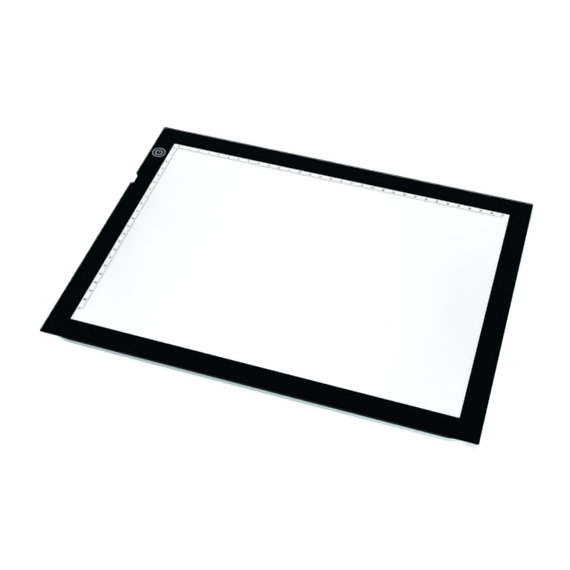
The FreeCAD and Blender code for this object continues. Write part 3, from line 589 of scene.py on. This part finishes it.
def print_scale(name, zero, base, ink, centimetres, along, out, tick, rise):
    """One scale: a tick at every millimetre and a numeral at every centimetre."""
    mesh = bmesh.new()
    for millimetre in range(centimetres * 10 + 1):
        foot = zero + along * (millimetre * MM - TICK_WIDTH / 2)
        tip = foot + along * TICK_WIDTH + out * (tick + extra_length(millimetre))
        low = (min(foot.x, tip.x), min(foot.y, tip.y))
        high = (max(foot.x, tip.x), max(foot.y, tip.y))
        add_bar(mesh, low, high, base)
    for number in range(centimetres + 1):
        middle = zero + along * (number * 10 * MM) + out * rise
        add_numeral(mesh, number, middle, base)
    bmesh.ops.remove_doubles(mesh, verts=mesh.verts, dist=SAME_POINT)
    bmesh.ops.recalc_face_normals(mesh, faces=mesh.faces)
    data = bpy.data.meshes.new(name)
    mesh.to_mesh(data)
    mesh.free()
    data.materials.append(ink)
    piece = bpy.data.objects.new(name, data)
    bpy.context.scene.collection.objects.link(piece)
    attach(piece, "root")


def print_scales(ink):
    half_width, half_depth = window_corner()
    zero = Vector((-half_width + ZERO_INSET_X, half_depth - ZERO_INSET_Y))
    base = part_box("top_sheet")[0].z - PRINT_GAP - PRINT_THICKNESS
    for name, layout in SCALES.items():
        print_scale(name, zero, base, ink, **layout)


# ---------------------------------------------------------------- floor, light and camera

def pale_floor():
    data = bpy.data.meshes.new("floor")
    w = FLOOR_HALF_WIDTH
    data.from_pydata([(-w, -w, 0), (w, -w, 0), (w, w, 0), (-w, w, 0)], [], [(0, 1, 2, 3)])
    finish = Finish("floor")
    paper = finish.grain(3.0, detail=3.0)
    data.materials.append(finish.done(finish.surface({
        "Base Color": finish.tone((0.9, 0.9, 0.9), 0.005, paper),
        "Roughness": 0.9,
        "Specular IOR Level": 0.1,
        "Emission Color": (1, 1, 1, 1),
        "Emission Strength": FLOOR_GLOW,
    })))
    floor = bpy.data.objects.new("floor", data)
    bpy.context.scene.collection.objects.link(floor)


def fill_ramp(ramp, stops):
    """Gives a colour ramp, which starts with two stops of its own, these stops in their place."""
    (first_position, first_colour), *others = stops
    ramp.elements.remove(ramp.elements[-1])
    ramp.elements[0].position = first_position
    ramp.elements[0].color = opaque(first_colour)
    for position, colour in others:
        ramp.elements.new(position).color = opaque(colour)


def studio_light():
    world = bpy.data.worlds.new("studio")
    world.use_nodes = True
    nodes = Nodes(world.node_tree)
    direction = nodes.add("ShaderNodeTexCoord").outputs["Generated"]
    height = nodes.add("ShaderNodeSeparateXYZ", {0: direction}).outputs[2]
    colour = nodes.add("ShaderNodeValToRGB", {"Fac": height})
    fill_ramp(colour.color_ramp, STUDIO)
    overhead = nodes.spread(height, 1.0, OVERHEAD_STRENGTH, OVERHEAD_START, OVERHEAD_FULL)
    reflected = nodes.add("ShaderNodeLightPath").outputs["Is Glossy Ray"]
    share = nodes.spread(reflected, 1.0, REFLECTED_SHARE, 0.0, 1.0)
    strength = nodes.math("MULTIPLY", overhead, share)
    back = nodes.add("ShaderNodeBackground", {"Color": colour.outputs[0], "Strength": strength})
    nodes.add("ShaderNodeOutputWorld", {"Surface": back.outputs[0]})
    bpy.context.scene.world = world


def low_lights():
    near_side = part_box("rear_tray")[0].y
    for name, (place, aim_x, energy) in LOW_LIGHTS.items():
        data = bpy.data.lights.new(name, "AREA")
        data.shape = "RECTANGLE"
        data.size = LOW_LIGHT_WIDTH
        data.size_y = LOW_LIGHT_HEIGHT
        data.energy = energy
        data.color = LOW_LIGHT_COLOUR
        lamp = bpy.data.objects.new(name, data)
        aim = Vector((aim_x, near_side, 0.0))
        lamp.location = place
        lamp.rotation_mode = "QUATERNION"
        lamp.rotation_quaternion = (aim - place).to_track_quat("-Z", "Y")
        lamp.visible_camera = False
        lamp.visible_glossy = False
        bpy.context.scene.collection.objects.link(lamp)


def camera():
    data = bpy.data.cameras.new("camera")
    data.lens = CAMERA_LENS
    data.sensor_width = CAMERA_SENSOR
    holder = bpy.data.objects.new("camera", data)
    holder.location = CAMERA_PLACE
    holder.rotation_euler = (math.pi / 2 - CAMERA_DIP, 0.0, CAMERA_TURN)
    bpy.context.scene.collection.objects.link(holder)
    bpy.context.scene.camera = holder


finishes = dress_nodes()
print_scales(finishes["border_ink"])
pale_floor()
studio_light()
low_lights()
camera()
bpy.context.scene.view_settings.view_transform = "Standard"
